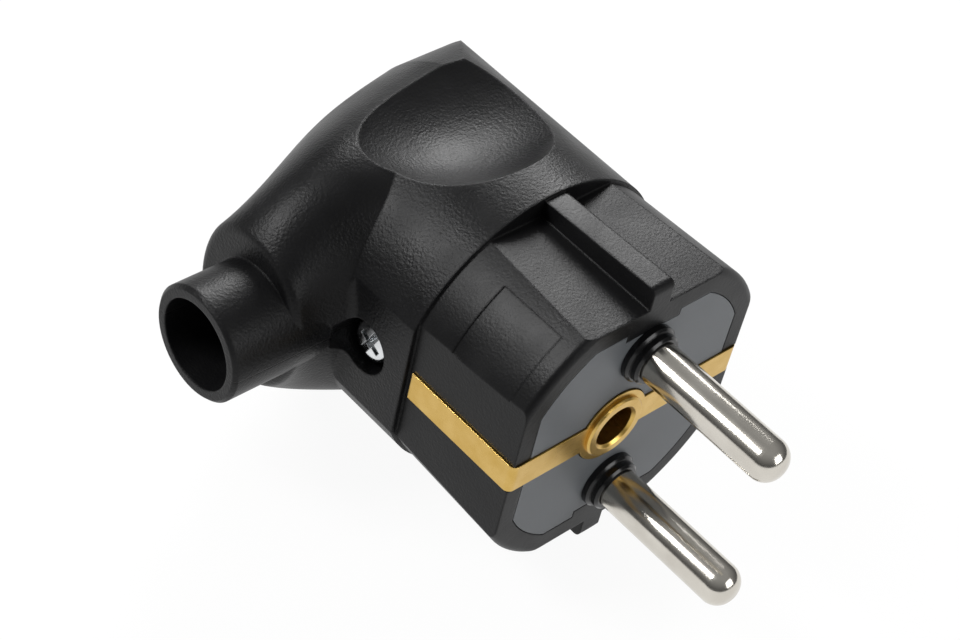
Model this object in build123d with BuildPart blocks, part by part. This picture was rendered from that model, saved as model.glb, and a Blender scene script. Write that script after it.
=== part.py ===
# Angled two-pin plug with side earth strips, an earth socket and a side cable inlet.
# Millimetres. The origin is the middle of the front face, midway between the pins.
# The pins point to -Y, the cable leaves to -X, and the pins stand one above the other in Z.

import os
from math import cos, radians, sin

from build123d import *

# Pins and earth socket, to the usual sizes of this plug family
pin_radius = 2.4
pin_length = 19.0
pin_spacing = 19.0
pin_tip_radius = 2.1
shank_radius = 2.2
neck_gap = 0.1
earth_bore_radius = 2.45
earth_centre_x = -2.0

# Round front body that enters the outlet, a little slimmer towards the hood
body_radius = 18.5
body_rear_radius = 17.9
rim_round = 0.8
engage_depth = 15.8
guide_floor = 15.8
rib_width = 2.8
flank_flat = 16.0
mouth_radius = 15.8
mouth_half_height = 13.6
mouth_half_width = 13.9
mouth_depth = 17.0
rib_block_width = 7.4
rib_block_depth = 0.9

# Hood and arm. The hood has flat flanks. The arm swells from its end to its root through five ovals.
hood_radius = 18.3
hood_flat = 16.7
hood_tail = 3.0
hood_tail_radius = 16.2
arm_axis_y = 31.2
arm_end_x = -23.6
arm_root_x = 5.0
arm_root_radius = 18.0
arm_rings = (
    # x, how far the middle lies behind the nose's axis, half depth along Y, half height along Z
    (arm_end_x, 1.6, 8.2, 9.2),
    (-18.0, 1.7, 8.4, 13.6),
    (-12.0, 1.4, 11.2, 15.8),
    (-3.0, 0.5, 15.8, 17.0),
    (arm_root_x, 0.0, arm_root_radius, arm_root_radius),
)
arm_end_round = 1.2
valley_round = 1.2
corner_radius = 22.0
corner_start_x = 8.0
nose_tip_x = -31.2
nose_radius = 6.5
nose_rim = 0.4
cable_radius = 5.1
wall = 2.9
hollow_half_height = 12.0

# Finger dishes above and below: height of the lowest point, the two hollow radii and the two slopes
dish_x = 1.0
dish_y = 28.8
dish_height = 13.7
dish_cross_radius = 14.0
dish_long_radius = 26.0
dish_lean = 2.8
dish_pitch = 8.0

# Bare panel on the flank beside the cable side's strip
panel_angle = 41.0
panel_half_angle = 13.5
panel_front_y = 2.6
panel_length = 8.4
panel_depth = 0.12

# Clearances
slip = 0.1
press = 0.02
thread_gap = 0.05
hole_gap = 0.2

# Front plate and what passes through it
plate_thickness = 4.0
collar_radius = 3.4
collar_step_radius = 3.0
collar_height = 1.8
socket_flange_radius = 3.8
socket_flange_height = 0.5
socket_tube_radius = 3.15
socket_end_y = 17.0
slit_width = 0.6
slit_start_y = 3.0
slit_end_y = 11.5

# Earth strip
strip_width = 3.5
strip_eye_radius = 4.5
strip_thickness = 1.0
strip_outer = 16.2
strip_proud = 0.2
strip_end_y = 15.2

# Screws and nuts, all of one thread
screw_radius = 1.5
head_radius = 2.3
head_height = 1.8
nut_half = 2.7
nut_thickness = 2.0

# Side screw
side_screw_y = 22.0
side_head_radius = 2.5
side_pocket_radius = 3.2
side_pocket_length = 4.6
side_head_height = 1.7
side_seat_x = -14.1
side_boss_radius = 4.4
side_boss_x = -12.6
side_nut_x = -10.6
side_tip_x = -7.4
recess_width = 0.7
recess_reach = 2.9
recess_depth = 1.3
recess_turn = 25
slot_cut = 0.8
slot_sink = 0.5

# Contact carrier behind the plate
carrier_disc_y = 15.0
carrier_end_y = 27.5
carrier_radius = 14.8
carrier_half_width = 13.5
carrier_half_height = 11.2
room_start_y = 10.0
room_left_x = -6.2
room_right_x = 10.5
earth_room_half = 4.1
room_wall = 1.0
spring_room_radius = 3.9

# Pin terminals
terminal_left_x = -3.5
terminal_right_x = 5.0
terminal_low = 5.9
terminal_high = 11.2
terminal_end_y = 19.0
terminal_screw_y = 15.5
wire_radius = 1.6

# Earth terminal and spring
earth_block_left_x = -5.8
earth_block_right_x = 5.6
earth_block_half = 3.9
earth_block_y = 12.5
earth_block_end_y = 21.5
earth_wire_x = 2.6
earth_screw_y = 19.0
spring_y = 5.8
spring_height = 2.6
spring_thickness = 0.5
spring_slit = 1.4

# Cord clamp
clamp_x = -8.4
clamp_screw_z = 7.1
clamp_bar_width = 6.0
clamp_bar_thickness = 2.8
clamp_bar_round = 1.5
clamp_bar_y = 33.8
clamp_bar_half_height = 9.4
clamp_groove_radius = 4.2
clamp_nut_y = 19.0
clamp_tip_y = 17.5

pin_z = pin_spacing / 2
terminal_z = (terminal_low + terminal_high) / 2
far = 60.0


def across(depth):
    """Plane parallel to the front face and this far behind it. Its normal points forwards."""
    return Plane.XZ.offset(-depth)


def lengthwise(x):
    """Plane square to the arm's axis at this x. Its normal points away from the cable."""
    return Plane.YZ.offset(x)


def mouth_outline(gap):
    """Opening of the front body, with a block for each rib, made smaller all round by gap."""
    Circle(mouth_radius - gap)
    Rectangle(2 * (mouth_half_width - gap), 2 * (mouth_half_height - gap), mode=Mode.INTERSECT)
    with Locations((0, mouth_half_height), (0, -mouth_half_height)):
        Rectangle(rib_block_width + 2 * gap, 2 * (rib_block_depth + gap), mode=Mode.SUBTRACT)


def corner_tool(inset):
    """What a ball leaves of the space round the closed end. It takes the point off its corner."""
    with BuildPart() as tool:
        with BuildSketch(lengthwise(corner_start_x)):
            with Locations((arm_axis_y + far / 2, 0)):
                Rectangle(far, far)
        extrude(amount=far)
        with Locations((0, arm_axis_y, 0)):
            Sphere(corner_radius - inset, mode=Mode.SUBTRACT)
    return tool.part


def rear_shape(inset):
    """Arm and closed end of the hood in one piece, made smaller all round by inset."""
    with BuildPart() as rear:
        for number, (x, behind, half_depth, half_height) in enumerate(arm_rings):
            middle = Vector(x + (inset if number == 0 else 0), arm_axis_y + behind, 0)
            with BuildSketch(Plane(origin=middle, x_dir=(0, 1, 0), z_dir=(1, 0, 0))):
                Circle(half_height - inset)
                scale(by=((half_depth - inset) / (half_height - inset), 1, 1))
        loft()
        if inset == 0:
            fillet(rear.faces().sort_by(Axis.X)[0].edges(), arm_end_round)
        with BuildSketch(lengthwise(arm_root_x)):
            with Locations((arm_axis_y, 0)):
                Circle(arm_root_radius - inset)
        extrude(amount=far)
        with BuildSketch(across(engage_depth)):
            Circle(hood_radius - inset)
            Rectangle(2 * (hood_flat - inset), 4 * far, mode=Mode.INTERSECT)
            with Locations((-far, 0)):
                Rectangle(2 * far, 4 * far)
        extrude(amount=-2 * far, mode=Mode.INTERSECT)
        add(corner_tool(inset), mode=Mode.SUBTRACT)
    return rear.part


def save(builder, label):
    builder.part.label = label
    export_step(builder.part, os.path.join("parts", label + ".step"))


os.makedirs("parts", exist_ok=True)


# Hollow of the housing behind its mouth: the outer shape again, one wall thickness smaller
with BuildPart() as hollow:
    with BuildSketch(across(mouth_depth)):
        Circle(hood_radius - wall)
        Rectangle(2 * (hood_flat - wall), 4 * far, mode=Mode.INTERSECT)
    extrude(amount=mouth_depth - arm_axis_y)
    add(rear_shape(wall))
    with BuildSketch(lengthwise(-far)):
        Rectangle(4 * far, 2 * hollow_half_height)
    extrude(amount=2 * far, mode=Mode.INTERSECT)
    with BuildSketch(lengthwise(side_boss_x)):
        with Locations((side_screw_y, 0)):
            Circle(side_boss_radius)
    extrude(amount=-far, mode=Mode.SUBTRACT)


# Tool shape of the finger dishes: the outside of a wide ring that leans to the arm and to the rear
with BuildPart() as dishes:
    lean = radians(dish_lean)
    pitch = radians(dish_pitch)
    outwards = Vector(-sin(lean), sin(pitch), 1.0).normalized()
    along = Vector(0, 1, 0).cross(outwards).normalized()
    lowest = Vector(dish_x, dish_y, dish_height)
    ring_plane = Plane(
        origin=lowest + outwards * dish_long_radius,
        x_dir=along,
        z_dir=along.cross(outwards),
    )
    with Locations(ring_plane):
        Torus(dish_long_radius - dish_cross_radius, dish_cross_radius)
    mirror(about=Plane.XY)


# Housing: turned front body and hood, then the arm with the closed rear end, then the nose
with BuildPart() as housing:
    with BuildSketch(Plane.XY):
        with BuildLine():
            Polyline(
                (body_radius, rim_round),
                (body_rear_radius, engage_depth),
                (hood_radius, engage_depth),
                (hood_radius, arm_axis_y),
                (hood_tail_radius, arm_axis_y + hood_tail),
                (0, arm_axis_y + hood_tail),
                (0, 0),
                (body_radius - rim_round, 0),
            )
            RadiusArc((body_radius - rim_round, 0), (body_radius, rim_round), -rim_round)
        make_face()
    revolve(axis=Axis.Y)
    with BuildSketch(across(engage_depth)):
        for side in (1, -1):
            with Locations((side * (hood_flat + far / 2), 0)):
                Rectangle(far, 2 * far)
    extrude(amount=-far, mode=Mode.SUBTRACT)
    add(rear_shape(0))
    add(dishes.part, mode=Mode.SUBTRACT)
    bends = housing.edges().filter_by(GeomType.BSPLINE)
    fillet(bends.filter_by_position(Axis.X, -hood_flat - 0.1, -hood_flat + 0.1), valley_round)
    with BuildSketch(lengthwise(nose_tip_x)):
        with Locations((arm_axis_y, 0)):
            Circle(nose_radius)
    extrude(amount=arm_root_x - nose_tip_x)
    chamfer(housing.edges().filter_by(GeomType.CIRCLE).group_by(Axis.X)[0], nose_rim)

    # guide pockets beside each rib, and the flats that carry the earth strips
    with BuildSketch(across(0)):
        for side in (1, -1):
            with Locations((0, side * (guide_floor + far / 2))):
                Rectangle(2 * far, far)
        Rectangle(rib_width, 2 * far, mode=Mode.SUBTRACT)
        for side in (1, -1):
            with Locations((side * (flank_flat + far / 2), 0)):
                Rectangle(far, 2 * guide_floor)
    extrude(amount=-engage_depth, mode=Mode.SUBTRACT)

    # bare panel, a shallow recess that follows the round flank and its taper
    slope = (body_radius - body_rear_radius) / (engage_depth - rim_round)
    start_angle = radians(panel_angle - panel_half_angle)
    radial = Vector(-cos(start_angle), 0, sin(start_angle))
    with BuildSketch(Plane(origin=(0, 0, 0), x_dir=radial, z_dir=radial.cross(Vector(0, 1, 0)))):
        with BuildLine():
            Polyline(
                (body_radius - slope * (panel_front_y - rim_round) - panel_depth, panel_front_y),
                (body_radius + 1, panel_front_y),
                (body_radius + 1, panel_front_y + panel_length),
                (
                    body_radius - slope * (panel_front_y + panel_length - rim_round) - panel_depth,
                    panel_front_y + panel_length,
                ),
                close=True,
            )
        make_face()
    revolve(axis=Axis.Y, revolution_arc=2 * panel_half_angle, mode=Mode.SUBTRACT)

    # mouth, hollow and cable bore
    with BuildSketch(across(0)):
        mouth_outline(0)
    extrude(amount=-mouth_depth, mode=Mode.SUBTRACT)
    add(hollow.part, mode=Mode.SUBTRACT)
    with BuildSketch(lengthwise(nose_tip_x)):
        with Locations((arm_axis_y, 0)):
            Circle(cable_radius)
    extrude(amount=arm_end_x + 2 * wall - nose_tip_x, mode=Mode.SUBTRACT)

    # grooves for the strip down both flanks and across the rim
    with BuildSketch(Plane.XY.offset(-strip_width / 2 - slip)):
        for side in (1, -1):
            with Locations((side * (strip_outer - strip_thickness / 2), strip_end_y / 2)):
                Rectangle(strip_thickness + 2 * thread_gap, strip_end_y + 2 * thread_gap)
        Rectangle(2 * strip_outer, 2 * (strip_thickness - strip_proud + thread_gap))
    extrude(amount=strip_width + 2 * slip, mode=Mode.SUBTRACT)

    # pocket and hole for the side screw
    with BuildSketch(lengthwise(side_seat_x)):
        with Locations((side_screw_y, 0)):
            Circle(side_pocket_radius)
    extrude(amount=-side_pocket_length, mode=Mode.SUBTRACT)
    with BuildSketch(lengthwise(side_seat_x)):
        with Locations((side_screw_y, 0)):
            Circle(screw_radius + hole_gap)
    extrude(amount=2 * wall, mode=Mode.SUBTRACT)

save(housing, "housing")


# Front plate with the groove for the strip and the holes for collars and earth socket
with BuildPart() as face_plate:
    with BuildSketch(across(0)):
        mouth_outline(slip)
    extrude(amount=-plate_thickness)
    with BuildSketch(across(0)):
        Rectangle(2 * far, strip_width + 2 * slip)
        with Locations((earth_centre_x, 0)):
            Circle(strip_eye_radius + slip)
    extrude(amount=-(strip_thickness - strip_proud + thread_gap), mode=Mode.SUBTRACT)
    with BuildSketch(across(0)):
        with Locations((0, pin_z), (0, -pin_z)):
            Circle(shank_radius + press)
        with Locations((earth_centre_x, 0)):
            Circle(socket_tube_radius + slip)
    extrude(amount=-plate_thickness, mode=Mode.SUBTRACT)

save(face_plate, "face_plate")


# Contact carrier: a thick disc behind the plate, then a block with an open room for each contact
with BuildPart() as contact_carrier:
    with BuildSketch(across(plate_thickness)):
        mouth_outline(slip)
    extrude(amount=plate_thickness - carrier_disc_y)
    with BuildSketch(across(carrier_disc_y)):
        Circle(carrier_radius)
        Rectangle(2 * carrier_half_width, 2 * carrier_half_height, mode=Mode.INTERSECT)
    extrude(amount=carrier_disc_y - carrier_end_y)

    # rooms, open behind, so that the wires and screws can be reached
    room_x = (room_left_x + room_right_x) / 2
    room_width = room_right_x - room_left_x
    room_low = earth_room_half + room_wall
    with BuildSketch(across(room_start_y)):
        with Locations((room_x, 0)):
            Rectangle(room_width, 2 * earth_room_half)
        for side in (1, -1):
            with Locations((room_x, side * (room_low + far / 2))):
                Rectangle(room_width, far)
    extrude(amount=-far, mode=Mode.SUBTRACT)

    # holes for the pins, and a wider one for the earth socket and its spring
    with BuildSketch(across(0)):
        with Locations((0, pin_z), (0, -pin_z)):
            Circle(shank_radius + press)
        with Locations((earth_centre_x, 0)):
            Circle(spring_room_radius)
    extrude(amount=-carrier_disc_y, mode=Mode.SUBTRACT)

    # room for the housing's screw boss, the screw hole, and the slot where the nut goes in from behind
    with BuildSketch(lengthwise(-far)):
        with Locations((side_screw_y, 0)):
            Circle(side_boss_radius + slip)
    extrude(amount=far + side_boss_x + slip, mode=Mode.SUBTRACT)
    with BuildSketch(lengthwise(-far)):
        with Locations((side_screw_y, 0)):
            Circle(screw_radius + hole_gap)
    extrude(amount=far + room_left_x, mode=Mode.SUBTRACT)
    with BuildSketch(lengthwise(side_nut_x - thread_gap)):
        with Locations((side_screw_y - nut_half - thread_gap + far / 2, 0)):
            Rectangle(far, 2 * (nut_half + thread_gap))
    extrude(amount=nut_thickness + 2 * thread_gap, mode=Mode.SUBTRACT)

    # seat for the cord across the back, with its screw holes and nut slots
    with BuildSketch(lengthwise(-far)):
        with Locations((arm_axis_y, 0)):
            Circle(clamp_groove_radius)
    extrude(amount=2 * far, mode=Mode.SUBTRACT)
    with BuildSketch(across(clamp_tip_y - 1.0)):
        with Locations((clamp_x, clamp_screw_z), (clamp_x, -clamp_screw_z)):
            Circle(screw_radius + hole_gap)
    extrude(amount=-far, mode=Mode.SUBTRACT)
    with BuildSketch(across(clamp_nut_y - thread_gap)):
        for side in (1, -1):
            with Locations((clamp_x, side * (clamp_screw_z - nut_half - thread_gap + far / 2))):
                Rectangle(2 * (nut_half + thread_gap), far)
    extrude(amount=-(nut_thickness + 2 * thread_gap), mode=Mode.SUBTRACT)

save(contact_carrier, "contact_carrier")


# Collars pressed on the roots of the pins, in two steps
for side, label in ((1, "collar_upper"), (-1, "collar_lower")):
    with BuildPart() as collar:
        with BuildSketch(across(-collar_height)):
            with Locations((0, side * pin_z)):
                Circle(collar_step_radius)
        extrude(amount=-collar_height)
        with BuildSketch(across(-collar_height / 2)):
            with Locations((0, side * pin_z)):
                Circle(collar_radius)
        extrude(amount=-collar_height / 2)
        front_rings = collar.edges().filter_by(GeomType.CIRCLE).group_by(Axis.Y)
        chamfer([front_rings[0][0], front_rings[1].sort_by(SortBy.RADIUS)[-1]], collar_height / 7)
        with BuildSketch(across(-collar_height)):
            with Locations((0, side * pin_z)):
                Circle(shank_radius + press)
        extrude(amount=-collar_height, mode=Mode.SUBTRACT)
    save(collar, label)


# Pins, each in one piece with its thinner shank and the terminal block behind the plate
for side, label in ((1, "pin_upper"), (-1, "pin_lower")):
    with BuildPart() as pin:
        with BuildSketch(across(-pin_length)):
            with Locations((0, side * pin_z)):
                Circle(pin_radius)
        extrude(amount=-(pin_length - collar_height - neck_gap))
        fillet(pin.edges().filter_by(GeomType.CIRCLE).group_by(Axis.Y)[0], pin_tip_radius)
        with BuildSketch(across(-collar_height - neck_gap)):
            with Locations((0, side * pin_z)):
                Circle(shank_radius)
        extrude(amount=-(collar_height + neck_gap + room_start_y))
        with BuildSketch(across(room_start_y)):
            with Locations(((terminal_left_x + terminal_right_x) / 2, side * terminal_z)):
                Rectangle(terminal_right_x - terminal_left_x, terminal_high - terminal_low)
        extrude(amount=room_start_y - terminal_end_y)
        chamfer(pin.edges().group_by(Axis.Y)[-1], 0.4)
        with BuildSketch(across(room_start_y + wire_radius)):
            with Locations((0, side * terminal_z)):
                Circle(wire_radius)
        extrude(amount=-far, mode=Mode.SUBTRACT)
        with BuildSketch(lengthwise(0)):
            with Locations((terminal_screw_y, side * terminal_z)):
                Circle(screw_radius + thread_gap)
        extrude(amount=far, mode=Mode.SUBTRACT)
    save(pin, label)


# Terminal screws, cheese-headed with a straight slot, in from the side away from the cable
for y, z, seat_x, label in (
    (terminal_screw_y, terminal_z, terminal_right_x, "terminal_screw_upper"),
    (terminal_screw_y, -terminal_z, terminal_right_x, "terminal_screw_lower"),
    (earth_screw_y, 0, earth_block_right_x, "earth_terminal_screw"),
):
    with BuildPart() as terminal_screw:
        with BuildSketch(lengthwise(0.2)):
            with Locations((y, z)):
                Circle(screw_radius)
        extrude(amount=seat_x - 0.2)
        with BuildSketch(lengthwise(seat_x)):
            with Locations((y, z)):
                Circle(head_radius)
        extrude(amount=head_height)
        chamfer(terminal_screw.edges().filter_by(GeomType.CIRCLE).group_by(Axis.X)[-1], 0.3)
        with BuildSketch(lengthwise(seat_x + head_height)):
            with Locations((y, z)):
                Rectangle(0.7, 4 * head_radius)
        extrude(amount=-0.9, mode=Mode.SUBTRACT)
    save(terminal_screw, label)


# Earth strip: one flat bar bent to a U, with a round eye for the socket
with BuildPart() as earth_strip:
    with BuildSketch(Plane.XY.offset(-strip_width / 2)):
        with Locations((0, (strip_end_y - strip_proud) / 2)):
            Rectangle(2 * strip_outer, strip_end_y + strip_proud)
        with Locations((0, (strip_end_y - strip_proud + strip_thickness) / 2)):
            Rectangle(
                2 * (strip_outer - strip_thickness),
                strip_end_y + strip_proud - strip_thickness,
                mode=Mode.SUBTRACT,
            )
    extrude(amount=strip_width)
    fillet(earth_strip.edges().filter_by(Axis.Z).group_by(Axis.Y)[0], 0.8 * strip_thickness)
    with BuildSketch(across(-strip_proud)):
        with Locations((earth_centre_x, 0)):
            Circle(strip_eye_radius)
    extrude(amount=-strip_thickness)
    with BuildSketch(across(-1)):
        with Locations((earth_centre_x, 0)):
            Circle(socket_tube_radius + press)
    extrude(amount=-3, mode=Mode.SUBTRACT)

save(earth_strip, "earth_strip")


# Earth socket: flanged tube with four slits that let it grip the outlet's earth pin
with BuildPart() as earth_socket:
    with BuildSketch(across(-strip_proud - socket_flange_height)):
        with Locations((earth_centre_x, 0)):
            Circle(socket_flange_radius)
    extrude(amount=-socket_flange_height)
    chamfer(earth_socket.edges().filter_by(GeomType.CIRCLE).group_by(Axis.Y)[0], 0.2)
    with BuildSketch(across(-strip_proud)):
        with Locations((earth_centre_x, 0)):
            Circle(socket_tube_radius)
    extrude(amount=-(strip_proud + socket_end_y))
    with BuildSketch(across(-strip_proud - socket_flange_height)):
        with Locations((earth_centre_x, 0)):
            Circle(earth_bore_radius)
    extrude(amount=-far, mode=Mode.SUBTRACT)
    chamfer(earth_socket.edges().filter_by(GeomType.CIRCLE).group_by(Axis.Y)[0].sort_by(SortBy.RADIUS)[0], 0.3)
    with BuildSketch(across(slit_start_y)):
        with Locations((earth_centre_x, 0)):
            Rectangle(slit_width, far)
            Rectangle(far, slit_width)
    extrude(amount=slit_start_y - slit_end_y, mode=Mode.SUBTRACT)

save(earth_socket, "earth_socket")


# Spring: open steel ring round the slit part of the socket
with BuildPart() as earth_spring:
    with BuildSketch(across(spring_y)):
        with Locations((earth_centre_x, 0)):
            Circle(socket_tube_radius + press + spring_thickness)
            Circle(socket_tube_radius + press, mode=Mode.SUBTRACT)
        with Locations((earth_centre_x + socket_tube_radius, 0)):
            Rectangle(4 * spring_thickness, spring_slit, mode=Mode.SUBTRACT)
    extrude(amount=-spring_height)

save(earth_spring, "earth_spring")


# Earth terminal: block pressed on the end of the socket
with BuildPart() as earth_terminal:
    with BuildSketch(across(earth_block_y)):
        with Locations(((earth_block_left_x + earth_block_right_x) / 2, 0)):
            Rectangle(earth_block_right_x - earth_block_left_x, 2 * earth_block_half)
    extrude(amount=earth_block_y - earth_block_end_y)
    chamfer(earth_terminal.edges().group_by(Axis.Y)[-1], 0.4)
    with BuildSketch(across(earth_block_y)):
        with Locations((earth_centre_x, 0)):
            Circle(socket_tube_radius + press)
    extrude(amount=earth_block_y - socket_end_y, mode=Mode.SUBTRACT)
    with BuildSketch(across(earth_block_end_y)):
        with Locations((earth_wire_x, 0)):
            Circle(wire_radius)
    extrude(amount=earth_block_end_y - socket_end_y + 1, mode=Mode.SUBTRACT)
    with BuildSketch(lengthwise(0)):
        with Locations((earth_screw_y, 0)):
            Circle(screw_radius + thread_gap)
    extrude(amount=far, mode=Mode.SUBTRACT)

save(earth_terminal, "earth_terminal")


# Side screw: domed head with a cross and a slot, facing the cable side
with BuildPart() as side_screw:
    with BuildSketch(lengthwise(side_tip_x)):
        with Locations((side_screw_y, 0)):
            Circle(screw_radius)
    extrude(amount=side_seat_x - side_tip_x)
    chamfer(side_screw.edges().filter_by(GeomType.CIRCLE).group_by(Axis.X)[-1], 0.4)
    with BuildSketch(lengthwise(side_seat_x)):
        with Locations((side_screw_y, 0)):
            Circle(side_head_radius)
    extrude(amount=-side_head_height)
    fillet(side_screw.edges().filter_by(GeomType.CIRCLE).group_by(Axis.X)[0], 0.45 * side_head_height)
    with BuildSketch(lengthwise(side_seat_x - side_head_height)):
        with Locations(Location((side_screw_y, 0), recess_turn)):
            Rectangle(recess_width, recess_reach)
            Rectangle(recess_reach, recess_width)
    extrude(amount=recess_depth, mode=Mode.SUBTRACT)
    with BuildSketch(lengthwise(side_seat_x - side_head_height)):
        with Locations(Location((side_screw_y, 0), recess_turn)):
            Rectangle(slot_cut, 3 * side_head_radius)
    extrude(amount=slot_sink, mode=Mode.SUBTRACT)

save(side_screw, "side_screw")


# Nuts, square, one for the side screw and one for each clamp screw
with BuildPart() as side_nut:
    with BuildSketch(lengthwise(side_nut_x)):
        with Locations((side_screw_y, 0)):
            Rectangle(2 * nut_half, 2 * nut_half)
            Circle(screw_radius + thread_gap, mode=Mode.SUBTRACT)
    extrude(amount=nut_thickness)

save(side_nut, "side_nut")

for side, label in ((1, "cord_clamp_nut_upper"), (-1, "cord_clamp_nut_lower")):
    with BuildPart() as clamp_nut:
        with BuildSketch(across(clamp_nut_y)):
            with Locations((clamp_x, side * clamp_screw_z)):
                Rectangle(2 * nut_half, 2 * nut_half)
                Circle(screw_radius + thread_gap, mode=Mode.SUBTRACT)
        extrude(amount=-nut_thickness)
    save(clamp_nut, label)


# Cord clamp: a bar grooved for the cord, held by two screws
with BuildPart() as cord_clamp_bar:
    with BuildSketch(across(clamp_bar_y)):
        with Locations((clamp_x, 0)):
            RectangleRounded(clamp_bar_width, 2 * clamp_bar_half_height, clamp_bar_round)
        with Locations((clamp_x, clamp_screw_z), (clamp_x, -clamp_screw_z)):
            Circle(screw_radius + hole_gap, mode=Mode.SUBTRACT)
    extrude(amount=-clamp_bar_thickness)
    with BuildSketch(lengthwise(-far)):
        with Locations((arm_axis_y, 0)):
            Circle(clamp_groove_radius)
    extrude(amount=2 * far, mode=Mode.SUBTRACT)

save(cord_clamp_bar, "cord_clamp_bar")

for side, label in ((1, "cord_clamp_screw_upper"), (-1, "cord_clamp_screw_lower")):
    with BuildPart() as clamp_screw:
        clamp_seat_y = clamp_bar_y + clamp_bar_thickness
        with BuildSketch(across(clamp_tip_y)):
            with Locations((clamp_x, side * clamp_screw_z)):
                Circle(screw_radius)
        extrude(amount=clamp_tip_y - clamp_seat_y)
        with BuildSketch(across(clamp_seat_y)):
            with Locations((clamp_x, side * clamp_screw_z)):
                Circle(head_radius)
        extrude(amount=-head_height)
        chamfer(clamp_screw.edges().filter_by(GeomType.CIRCLE).group_by(Axis.Y)[-1], 0.3)
        with BuildSketch(across(clamp_seat_y + head_height)):
            with Locations((clamp_x, side * clamp_screw_z)):
                Rectangle(0.7, 4 * head_radius)
        extrude(amount=0.9, mode=Mode.SUBTRACT)
    save(clamp_screw, label)
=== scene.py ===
from math import radians

import bpy
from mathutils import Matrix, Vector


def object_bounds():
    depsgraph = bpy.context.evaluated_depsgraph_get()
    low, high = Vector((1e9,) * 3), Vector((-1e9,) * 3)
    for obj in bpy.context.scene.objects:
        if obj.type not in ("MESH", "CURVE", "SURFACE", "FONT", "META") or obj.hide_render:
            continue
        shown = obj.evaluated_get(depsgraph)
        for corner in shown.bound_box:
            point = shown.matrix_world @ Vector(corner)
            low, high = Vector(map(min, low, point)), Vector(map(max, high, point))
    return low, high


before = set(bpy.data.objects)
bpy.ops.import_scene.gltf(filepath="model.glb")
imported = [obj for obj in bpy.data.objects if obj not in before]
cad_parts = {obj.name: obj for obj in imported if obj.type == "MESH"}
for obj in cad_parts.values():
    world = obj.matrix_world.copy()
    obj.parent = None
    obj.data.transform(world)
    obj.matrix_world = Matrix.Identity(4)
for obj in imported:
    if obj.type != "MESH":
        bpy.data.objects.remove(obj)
cadLow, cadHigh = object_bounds()
scene = bpy.context.scene
mm = 0.001


# sRGB hex colour as linear RGBA
def linear(hexColour):
    parts = [int(hexColour[i:i + 2], 16) / 255 for i in (1, 3, 5)]
    return tuple(p / 12.92 if p <= 0.04045 else ((p + 0.055) / 1.055) ** 2.4 for p in parts) + (1.0,)


# adds a shader node, whose inputs take a constant or another node's socket
def addNode(tree, kind, inputs=None, **settings):
    node = tree.nodes.new("ShaderNode" + kind)
    for name, value in settings.items():
        setattr(node, name, value)
    for name, value in (inputs or {}).items():
        if isinstance(value, bpy.types.NodeSocket):
            tree.links.new(value, node.inputs[name])
        else:
            node.inputs[name].default_value = value
    return node


def newMaterial(name):
    material = bpy.data.materials.new(name)
    material.use_nodes = True
    material.node_tree.nodes.clear()
    return material, material.node_tree


def paint(names, material):
    for name in names:
        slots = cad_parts[name].data.materials
        slots.clear()
        slots.append(material)


# what the finishes share: how far a noise swings about its middle, and how many rays soften an edge
common = {"noiseLow": 0.3, "noiseHigh": 0.7, "edgeSamples": 4}


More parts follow.
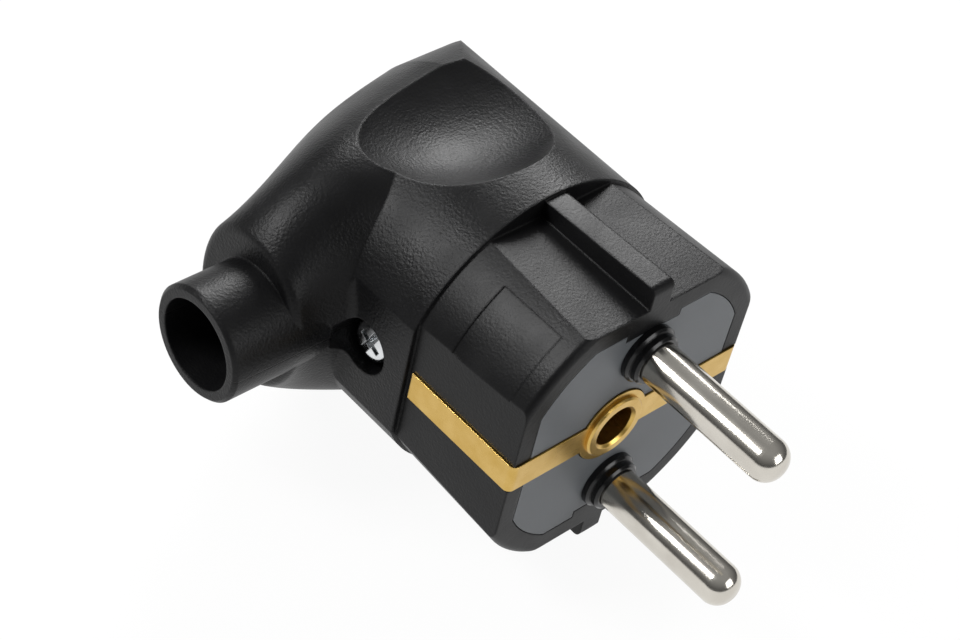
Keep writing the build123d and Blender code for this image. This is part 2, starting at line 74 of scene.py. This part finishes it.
# fine spark-eroded mould grain over a plain colour
def mouldedPlastic(name, look):
    material, tree = newMaterial(name)
    place = addNode(tree, "TexCoord").outputs["Object"]
    axes = addNode(tree, "SeparateXYZ", {"Vector": place})
    grain = addNode(
        tree, "TexVoronoi", {"Vector": place, "Scale": 1 / look["grain"]}, feature="SMOOTH_F1"
    )
    dust = addNode(tree, "TexNoise", {"Vector": place, "Scale": 1 / look["dust"], "Detail": 3.0})
    cloud = addNode(tree, "TexNoise", {"Vector": place, "Scale": 1 / look["cloud"], "Detail": 2.0})
    height = addNode(
        tree, "Math", {0: grain.outputs["Distance"], 1: dust.outputs["Fac"]}, operation="ADD"
    )
    strength = look["bump"]
    if "smoothFront" in look:
        # the grain is weaker on the front body than on the hood and arm
        strength = addNode(
            tree, "MapRange",
            {"Value": axes.outputs["Y"],
             "From Min": look["smoothFront"] - look["fade"],
             "From Max": look["smoothFront"] + look["fade"],
             "To Min": look["bump"] * look["frontShare"], "To Max": look["bump"]},
        ).outputs["Result"]
    soft = addNode(tree, "Bevel", {"Radius": look["softEdge"]}, samples=common["edgeSamples"])
    normal = addNode(
        tree, "Bump",
        {"Strength": strength, "Distance": look["depth"], "Height": height.outputs["Value"],
         "Normal": soft.outputs["Normal"]},
    ).outputs["Normal"]
    swing = addNode(
        tree, "MapRange",
        {"Value": cloud.outputs["Fac"],
         "From Min": common["noiseLow"], "From Max": common["noiseHigh"]},
    )
    colour = addNode(
        tree, "MixRGB",
        {"Fac": swing.outputs["Result"],
         "Color1": linear(look["dark"]), "Color2": linear(look["light"])},
    ).outputs["Color"]
    if "seam" in look:
        # parting line of the mould, a hair-fine groove round the hood and arm
        off = addNode(tree, "Math", {0: axes.outputs["Z"]}, operation="ABSOLUTE")
        inside = addNode(
            tree, "MapRange",
            {"Value": off.outputs["Value"], "From Min": look["seam"] / 2, "From Max": look["seam"],
             "To Min": 1.0, "To Max": 0.0},
        )
        behind = addNode(
            tree, "Math", {0: axes.outputs["Y"], 1: look["smoothFront"]}, operation="GREATER_THAN"
        )
        line = addNode(
            tree, "Math", {0: inside.outputs["Result"], 1: behind.outputs["Value"]},
            operation="MULTIPLY",
        ).outputs["Value"]
        normal = addNode(
            tree, "Bump",
            {"Strength": 1.0, "Distance": look["seam"], "Height": line, "Normal": normal},
            invert=True,
        ).outputs["Normal"]
        colour = addNode(
            tree, "MixRGB", {"Fac": line, "Color1": colour, "Color2": linear(look["seamColour"])}
        ).outputs["Color"]
    roughness = addNode(
        tree, "MapRange",
        {"Value": cloud.outputs["Fac"],
         "From Min": common["noiseLow"], "From Max": common["noiseHigh"],
         "To Min": look["rough"][0], "To Max": look["rough"][1]},
    )
    shader = addNode(
        tree, "BsdfPrincipled",
        {"Base Color": colour, "Roughness": roughness.outputs["Result"],
         "IOR": look["ior"], "Specular IOR Level": look["gloss"], "Normal": normal},
    )
    addNode(tree, "OutputMaterial", {"Surface": shader.outputs["BSDF"]})
    return material


# PVC shell, matt black with an eroded grain that scatters the light into a soft grey sheen.
# The real grain is finer than a pixel, so it is drawn as coarse as it needs to show.
shellLook = {
    "dark": "#0b0b0c", "light": "#121213", "rough": (0.36, 0.46), "ior": 1.53, "gloss": 0.17,
    "grain": 0.32 * mm, "dust": 0.2 * mm, "cloud": 6 * mm, "depth": 0.04 * mm, "bump": 0.75,
    "smoothFront": 15.8 * mm, "fade": 0.2 * mm, "frontShare": 0.5, "softEdge": 0.35 * mm,
    "seam": 0.07 * mm, "seamColour": "#0c0c0c",
}
paint(["housing"], mouldedPlastic("BlackPVC", shellLook))

# polyamide plate with a fine mould grain, satin grey
plateLook = {
    "dark": "#54575a", "light": "#5d6063", "rough": (0.42, 0.50), "ior": 1.53, "gloss": 0.3,
    "grain": 0.3 * mm, "dust": 0.12 * mm, "cloud": 5 * mm, "depth": 0.015 * mm, "bump": 0.25,
    "softEdge": 0.15 * mm,
}
paint(["face_plate"], mouldedPlastic("GreyPolyamide", plateLook))

# polyamide collars from a polished mould, glossy black
collarLook = {
    "dark": "#0c0c0d", "light": "#121213", "rough": (0.16, 0.22), "ior": 1.53, "gloss": 0.3,
    "grain": 0.5 * mm, "dust": 0.2 * mm, "cloud": 2 * mm, "depth": 0.005 * mm, "bump": 0.1,
    "softEdge": 0.12 * mm,
}
paint(["collar_upper", "collar_lower"], mouldedPlastic("BlackPolyamide", collarLook))

# undyed polyamide inside the shell, milky and matt
innerLook = {
    "dark": "#c9c6bc", "light": "#d3d0c6", "rough": (0.45, 0.55), "ior": 1.53, "gloss": 0.5,
    "grain": 0.4 * mm, "dust": 0.15 * mm, "cloud": 5 * mm, "depth": 0.015 * mm, "bump": 0.25,
    "softEdge": 0.2 * mm,
}
paint(["contact_carrier", "cord_clamp_bar"], mouldedPlastic("NaturalPolyamide", innerLook))
print("plastics done")


# metal with the fine lines that drawing, rolling or turning leaves, as long as lines says per axis
def drawnMetal(name, look):
    material, tree = newMaterial(name)
    place = addNode(tree, "TexCoord").outputs["Object"]
    stretch = addNode(
        tree, "Mapping", {"Vector": place, "Scale": tuple(1 / s for s in look["lines"])}
    )
    lines = addNode(
        tree, "TexNoise", {"Vector": stretch.outputs["Vector"], "Scale": 1.0, "Detail": 4.0}
    )
    cloud = addNode(tree, "TexNoise", {"Vector": place, "Scale": 1 / look["cloud"], "Detail": 3.0})
    soft = addNode(tree, "Bevel", {"Radius": look["softEdge"]}, samples=common["edgeSamples"])
    bump = addNode(
        tree, "Bump",
        {"Strength": look["bump"], "Distance": look["depth"], "Height": lines.outputs["Fac"],
         "Normal": soft.outputs["Normal"]},
    )
    swing = addNode(
        tree, "MapRange",
        {"Value": cloud.outputs["Fac"],
         "From Min": common["noiseLow"], "From Max": common["noiseHigh"]},
    )
    colour = addNode(
        tree, "MixRGB",
        {"Fac": swing.outputs["Result"],
         "Color1": linear(look["dark"]), "Color2": linear(look["light"])},
    )
    roughness = addNode(
        tree, "MapRange",
        {"Value": lines.outputs["Fac"],
         "From Min": common["noiseLow"], "From Max": common["noiseHigh"],
         "To Min": look["rough"][0], "To Max": look["rough"][1]},
    )
    shader = addNode(
        tree, "BsdfPrincipled",
        {"Base Color": colour.outputs["Color"], "Metallic": 1.0,
         "Roughness": roughness.outputs["Result"], "Normal": bump.outputs["Normal"]},
    )
    addNode(tree, "OutputMaterial", {"Surface": shader.outputs["BSDF"]})
    return material


# nickel plate on polished brass: bright, a little warm, faint draw lines along the pin
pinLook = {
    "dark": "#c9c4bb", "light": "#d6d2c9", "rough": (0.14, 0.20),
    "lines": (0.4 * mm, 6 * mm, 0.4 * mm), "cloud": 3 * mm,
    "depth": 0.001 * mm, "bump": 0.1, "softEdge": 0.1 * mm,
}
paint(["pin_upper", "pin_lower"], drawnMetal("NickelPlatedBrass", pinLook))

# rolled brass: satin gold, with lines along the strip
stripLook = {
    "dark": "#c6a253", "light": "#d2b067", "rough": (0.26, 0.36),
    "lines": (1.5 * mm, 1.5 * mm, 0.06 * mm), "cloud": 2 * mm,
    "depth": 0.003 * mm, "bump": 0.3, "softEdge": 0.1 * mm,
}
paint(["earth_strip", "earth_socket", "earth_terminal"], drawnMetal("RolledBrass", stripLook))

# zinc-plated steel: bright with a cool cast and a slightly uneven skin
screwLook = {
    "dark": "#cfd1d3", "light": "#e2e4e6", "rough": (0.12, 0.22),
    "lines": (0.5 * mm, 0.5 * mm, 0.5 * mm), "cloud": 1 * mm,
    "depth": 0.006 * mm, "bump": 0.3, "softEdge": 0.12 * mm,
}
screwNodes = [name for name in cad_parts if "screw" in name or "nut" in name]
paint(screwNodes, drawnMetal("ZincPlatedSteel", screwLook))

# hard-drawn spring steel: dull grey with lines along the ring
springLook = {
    "dark": "#6f7276", "light": "#7d8084", "rough": (0.25, 0.35),
    "lines": (0.5 * mm, 0.08 * mm, 0.5 * mm), "cloud": 2 * mm,
    "depth": 0.004 * mm, "bump": 0.3, "softEdge": 0.08 * mm,
}
paint(["earth_spring"], drawnMetal("SpringSteel", springLook))
print("metals done")


# pale paper floor. It glows white to the camera and in reflections, and keeps a faint shadow.
floorLook = {
    "size": 6.0, "drop": 0.1 * mm, "colour": "#f2f2f2", "rough": (0.6, 0.7), "fibre": 2 * mm,
    "glow": 0.94,
}
bpy.ops.mesh.primitive_plane_add(
    size=floorLook["size"], location=(0, 0, cadLow.z - floorLook["drop"])
)
floor = bpy.context.object
floor.name = "studio_floor"
floorMaterial, tree = newMaterial("PaleFloor")
place = addNode(tree, "TexCoord").outputs["Object"]
paper = addNode(tree, "TexNoise", {"Vector": place, "Scale": 1 / floorLook["fibre"]})
roughness = addNode(
    tree, "MapRange",
    {"Value": paper.outputs["Fac"],
     "From Min": common["noiseLow"], "From Max": common["noiseHigh"],
     "To Min": floorLook["rough"][0], "To Max": floorLook["rough"][1]},
)
diffuse = addNode(
    tree, "BsdfPrincipled",
    {"Base Color": linear(floorLook["colour"]), "Roughness": roughness.outputs["Result"]},
)
white = addNode(tree, "Emission", {"Color": (1, 1, 1, 1), "Strength": 1.0})
rays = addNode(tree, "LightPath")
seen = addNode(
    tree, "Math",
    {0: rays.outputs["Is Camera Ray"], 1: rays.outputs["Is Glossy Ray"]}, operation="MAXIMUM",
)
seen = addNode(
    tree, "Math",
    {0: seen.outputs["Value"], 1: rays.outputs["Is Transmission Ray"]}, operation="MAXIMUM",
)
share = addNode(
    tree, "Math", {0: seen.outputs["Value"], 1: floorLook["glow"]}, operation="MULTIPLY"
)
mixed = addNode(
    tree, "MixShader",
    {0: share.outputs["Value"], 1: diffuse.outputs["BSDF"], 2: white.outputs["Emission"]},
)
addNode(tree, "OutputMaterial", {"Surface": mixed.outputs["Shader"]})
floor.data.materials.append(floorMaterial)
print("floor done")

# dim room, darkest at the horizon and lightest overhead
roomLook = {"dark": 0.02, "light": 0.35, "low": -0.1, "high": 0.9}
world = bpy.data.worlds.new("StudioWorld")
world.use_nodes = True
scene.world = world
tree = world.node_tree
tree.nodes.clear()
direction = addNode(
    tree, "SeparateXYZ", {"Vector": addNode(tree, "TexCoord").outputs["Generated"]}
)
glow = addNode(
    tree, "MapRange",
    {"Value": direction.outputs["Z"], "From Min": roomLook["low"], "From Max": roomLook["high"],
     "To Min": roomLook["dark"], "To Max": roomLook["light"]},
)
background = addNode(tree, "Background", {"Color": glow.outputs["Result"], "Strength": 1.0})
addNode(tree, "OutputWorld", {"Surface": background.outputs["Background"]})

# a soft box behind gives the sheen on hood and rib, one on the left the bright band on the pins,
# and a weak one fills the front. Places and sizes in mm, power in watts.
lampLook = {
    "back": {"place": (290, 330, 300), "size": 240, "power": 2.7},
    "front": {"place": (120, -420, 200), "size": 250, "power": 0.9},
    "left": {"place": (-300, 240, 355), "size": 170, "power": 2.0},
}
middle = (cadLow + cadHigh) / 2
for name, look in lampLook.items():
    data = bpy.data.lights.new(name + "_lamp", "AREA")
    data.size = look["size"] * mm
    data.energy = look["power"]
    lamp = bpy.data.objects.new(name + "_lamp", data)
    lamp.location = [v * mm for v in look["place"]]
    lamp.rotation_euler = (lamp.location - middle).to_track_quat("Z", "Y").to_euler()
    scene.collection.objects.link(lamp)
print("lamps done")

# camera fitted to the pins, strips, screw and outline in the photograph: place in mm, turn in degrees
cameraLook = {
    "place": (-145.83, -94.62, 172.97), "turn": (45.529, -10.079, -41.764),
    "lens": 90.0, "sensor": 36.0, "nearest": 10 * mm,
}
cameraData = bpy.data.cameras.new("Camera")
cameraData.lens = cameraLook["lens"]
cameraData.sensor_width = cameraLook["sensor"]
cameraData.clip_start = cameraLook["nearest"]
camera = bpy.data.objects.new("Camera", cameraData)
camera.location = [v * mm for v in cameraLook["place"]]
camera.rotation_euler = [radians(v) for v in cameraLook["turn"]]
scene.collection.objects.link(camera)
scene.camera = camera
scene.view_settings.view_transform = "Standard"
print("camera done")
